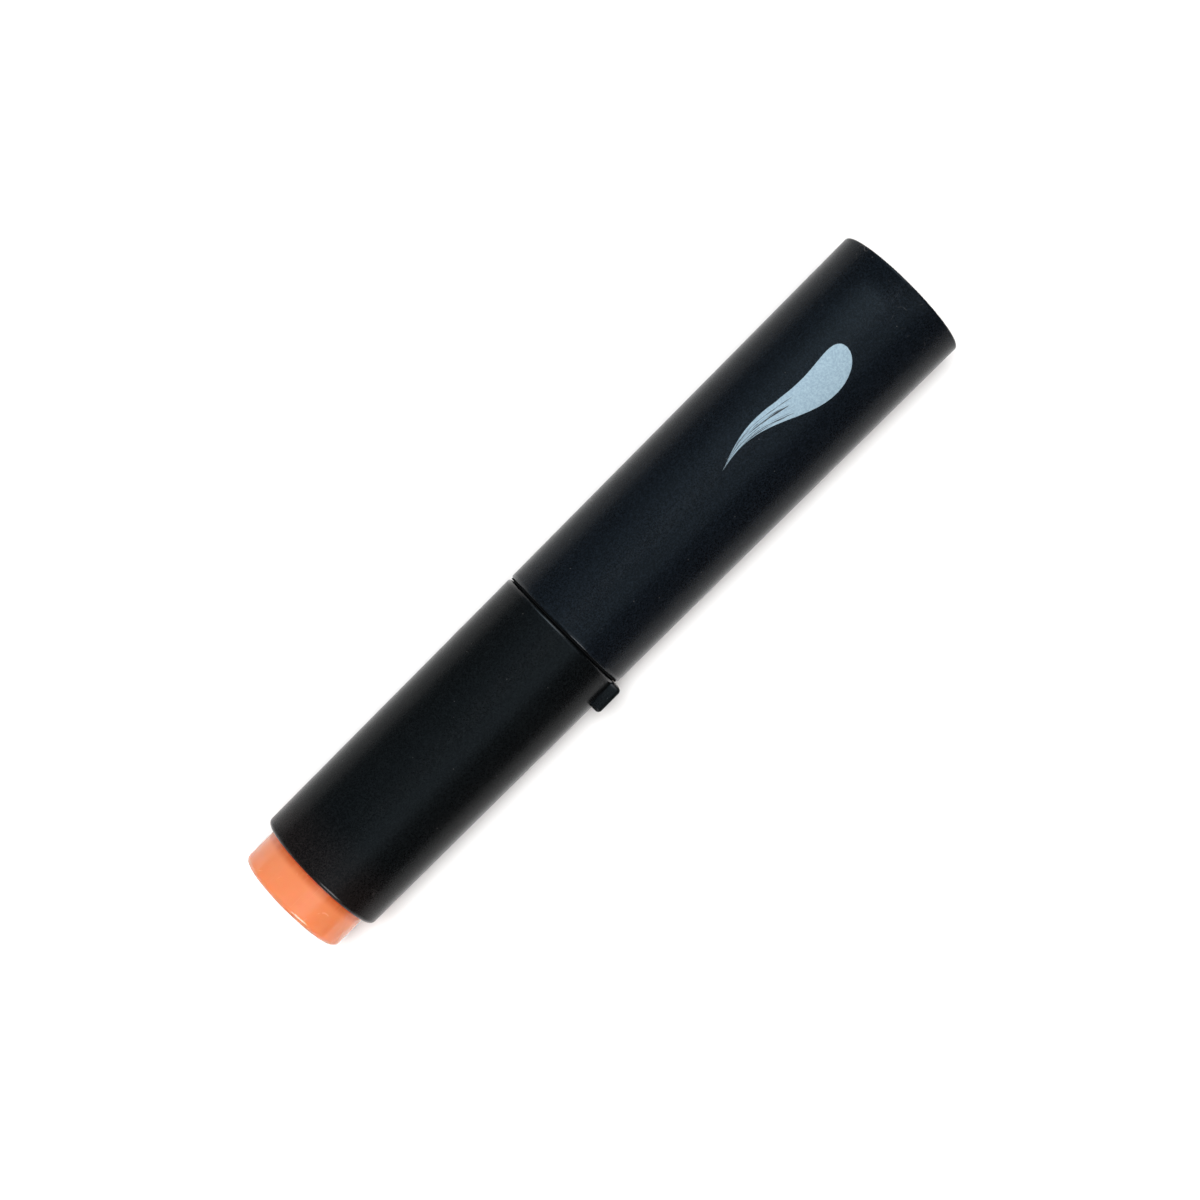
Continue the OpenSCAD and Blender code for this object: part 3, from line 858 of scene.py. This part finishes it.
def make_printed_stroke(looks):
    growth = (SEAM_RADIUS - REAR_RADIUS) / (SEAM_X - REAR_X)
    mesh = bpy.data.meshes.new("printed_stroke")
    return run_tree(linked("printed_stroke", mesh), stroke_tree(), {
        "Start": STROKE_X, "Length": STROKE_LENGTH, "Half width": STROKE_HALF_WIDTH, "Sway": STROKE_SWAY,
        "Radius at start": REAR_RADIUS + growth * (STROKE_X - REAR_X) - PRINT_SINK, "Radius growth": growth,
        "Axis height": AXIS_Z, "Thickness": PRINT_THICKNESS, "Material": looks})


# Each new piece: its maker, its body, the node that it replaces and its material
REPLACED = [
    (make_barrel, "barrel", "barrel", barrel_plastic),
    (make_front_section, "barrel", "front_section", section_plastic),
    (make_brush_nib, "barrel", "brush_nib", nib_fibre),
    (make_cap_shell, "cap", "cap_shell", cap_plastic),
    (make_inner_cap, "cap", "inner_cap", ink_colour_plastic),
    (make_cartridge_case, "cartridge", "cartridge_tube", case_plastic),
    (make_end_plug, "cartridge", "cartridge_end_plug", plug_plastic),
]
for make, body, node, looks in REPLACED:
    piece = make(material(looks))
    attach(piece, body)
    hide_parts(node)

# Nodes that keep their own mesh and get a material
KEPT = {"feed_wick": wick_fibre, "cartridge_seal": seal_rubber, "ink_reservoir": core_fibre,
        "reservoir_sleeve": core_film}
for node, looks in KEPT.items():
    slots = frame["nodes"][node].data.materials
    slots.clear()
    slots.append(material(looks))

stroke = make_printed_stroke(material(print_ink))
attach(stroke, "barrel")


# Floor, light and camera
FLOOR_REACH = 0.33
DARK_SIDE_REACH = 0.1  # the floor ends sooner on the room's dark side, which the marker's +Y side mirrors
CAMERA_HEIGHT = 278 * MM
CAMERA_FOOT = (-0.109 * MM, 0.451 * MM)
CAMERA_TURN = math.radians(135.06)
LENS = 81.33
SENSOR = 36.0
NEAREST_SEEN = 10 * MM

# Low warm cards that light the marker's sides
CARD_X = 0.03
CARD_DISTANCE = 0.5
CARD_HEIGHT = 0.06
CARD_SIZE = 0.3
CARD_POWERS = {1: 0.82, -1: 0.42}  # on the +Y and the -Y side
CARD_COLOUR = (1.0, 0.6, 0.4)

# The room that glossy surfaces mirror, by directions from the marker
LIT_SIDE = (0, -0.75, 0.66)
LIT_EDGE = 0.04
BRIGHTEST = (0, 0.39, 0.92)
STRIPE_SHARPNESS = 18
WINDOW_X = -0.35
WINDOW_X_REACH = (0.05, 0.3)  # the window is fully lit up to the first and fades out up to the second
WINDOW_Y = -0.36
WINDOW_Y_REACH = (0.1, 0.6)
ROOM_COLOUR = (0.76, 0.95, 1.08, 1)
LIT_LIGHT = 0.25
STRIPE_LIGHT = 1.3
WINDOW_LIGHT = 6.3
DARK_LIGHT = 0.03


def make_floor():
    corners = [(-FLOOR_REACH, -FLOOR_REACH, 0), (FLOOR_REACH, -FLOOR_REACH, 0),
               (FLOOR_REACH, DARK_SIDE_REACH, 0), (-FLOOR_REACH, DARK_SIDE_REACH, 0)]
    mesh = bpy.data.meshes.new("floor")
    mesh.from_pydata(corners, [], [range(len(corners))])
    mesh.materials.append(material(floor_white))
    linked("floor", mesh)


def make_panel(name, place, size, power, mirrored=False, colour=(1, 1, 1)):
    """Round soft light aimed at the marker. It lights surfaces, or is only mirrored in glossy ones."""
    light = bpy.data.lights.new(name, "AREA")
    light.shape = "DISK"
    light.size = size
    light.energy = power
    light.color = colour
    panel = linked(name, light)
    panel.location = place
    panel.rotation_euler = (Vector((0, 0, AXIS_Z)) - panel.location).to_track_quat("-Z", "Y").to_euler()
    panel.visible_camera = False
    panel.visible_glossy = mirrored
    panel.visible_diffuse = not mirrored


def make_lights():
    make_panel("key", place=(0, -0.06, 1.0), size=0.35, power=10.0)
    make_panel("fill", place=(0, 0, 1.4), size=2.2, power=16.0)
    for side, power in CARD_POWERS.items():
        make_panel("low_card", place=(CARD_X, side * CARD_DISTANCE, CARD_HEIGHT), size=CARD_SIZE,
                   power=power, colour=CARD_COLOUR)
    make_panel("cap_end_light", place=(0.59, 0.38, 0.525), size=0.5, power=8.5, mirrored=True)
    make_panel("rear_end_light", place=(-0.6, -0.16, 0.55), size=0.6, power=3.0, mirrored=True)


def make_world():
    """The room that glossy surfaces mirror: lit on the -Y side and overhead, with a window towards -X, and
    dark on +Y. Behind the floor's edge the camera sees plain white."""
    world = bpy.data.worlds.new("room")
    bpy.context.scene.world = world
    world.use_nodes = True
    world.cycles_visibility.diffuse = False
    world.node_tree.nodes.clear()
    tree = Tree(world.node_tree)
    direction = tree.node("ShaderNodeTexCoord", {}, {}, "Generated")

    def towards(aim):
        sockets = {0: direction, 1: Vector(aim).normalized()}
        return tree.node("ShaderNodeVectorMath", {"operation": "DOT_PRODUCT"}, sockets, "Value")

    parts = tree.node("ShaderNodeSeparateXYZ", {}, {"Vector": direction})
    window = parts.near(WINDOW_X, *WINDOW_X_REACH) * parts.at("Y").near(WINDOW_Y, *WINDOW_Y_REACH)
    stripe = towards(BRIGHTEST).at_least(0) ** STRIPE_SHARPNESS
    lit = LIT_LIGHT + stripe * STRIPE_LIGHT + window * WINDOW_LIGHT
    room = towards(LIT_SIDE).smooth(-LIT_EDGE, LIT_EDGE) * lit + DARK_LIGHT
    seen = tree.node("ShaderNodeLightPath", {}, {}, "Is Camera Ray")
    sky = tree.node("ShaderNodeBackground", {}, {
        "Color": seen.blend(ROOM_COLOUR, grey(1.0)), "Strength": room * (1 - seen) + seen})
    tree.node("ShaderNodeOutputWorld", {}, {"Surface": sky})


def make_camera():
    camera = linked("camera", bpy.data.cameras.new("camera"))
    camera.data.lens = LENS
    camera.data.sensor_width = SENSOR
    camera.data.clip_start = NEAREST_SEEN
    camera.location = (*CAMERA_FOOT, AXIS_Z + CAMERA_HEIGHT)
    camera.rotation_euler = (0, 0, CAMERA_TURN)
    bpy.context.scene.camera = camera
    bpy.context.scene.view_settings.view_transform = "Standard"


make_floor()
make_lights()
make_world()
make_camera()
